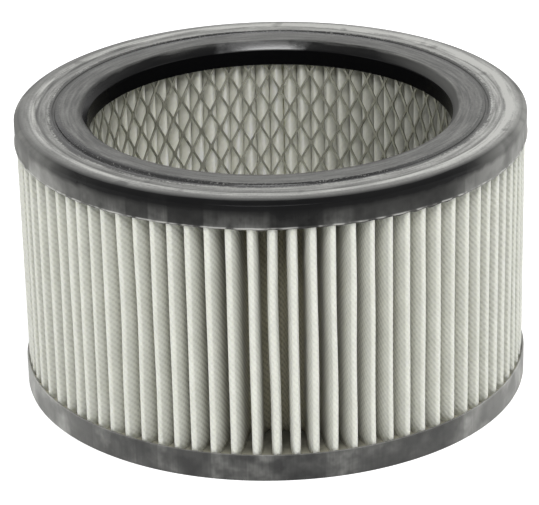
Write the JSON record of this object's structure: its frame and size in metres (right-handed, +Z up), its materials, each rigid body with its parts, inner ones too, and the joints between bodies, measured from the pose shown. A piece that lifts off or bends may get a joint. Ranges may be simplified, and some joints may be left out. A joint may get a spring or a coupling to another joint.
{
  "type": "vacuum cleaner filter",
  "caption": "Round pleated cartridge filter for a wet and dry vacuum cleaner: grey fleece pleats around an expanded steel core, between open black moulded ring caps.",
  "frame": {"origin": "On the filter's axis, at the underside of the plain bottom cap", "axes": "+Z runs up the filter's axis to the sealing face; the part is the same from every side, and -Y faces the picture's camera"},
  "size_m": [0.185, 0.185, 0.104],
  "materials": {
    "cap_elastomer": "moulded, satin, with a chalky bloom",
    "filter_fleece": "nonwoven, matt, with embossed bond points",
    "galvanised_steel": "galvanised, dull"
  },
  "bodies": {
    "root": {"bottom_end_cap": "cap_elastomer", "top_end_cap": "cap_elastomer", "pleated_media": "filter_fleece", "support_core": "galvanised_steel"}
  },
  "joints": []
}
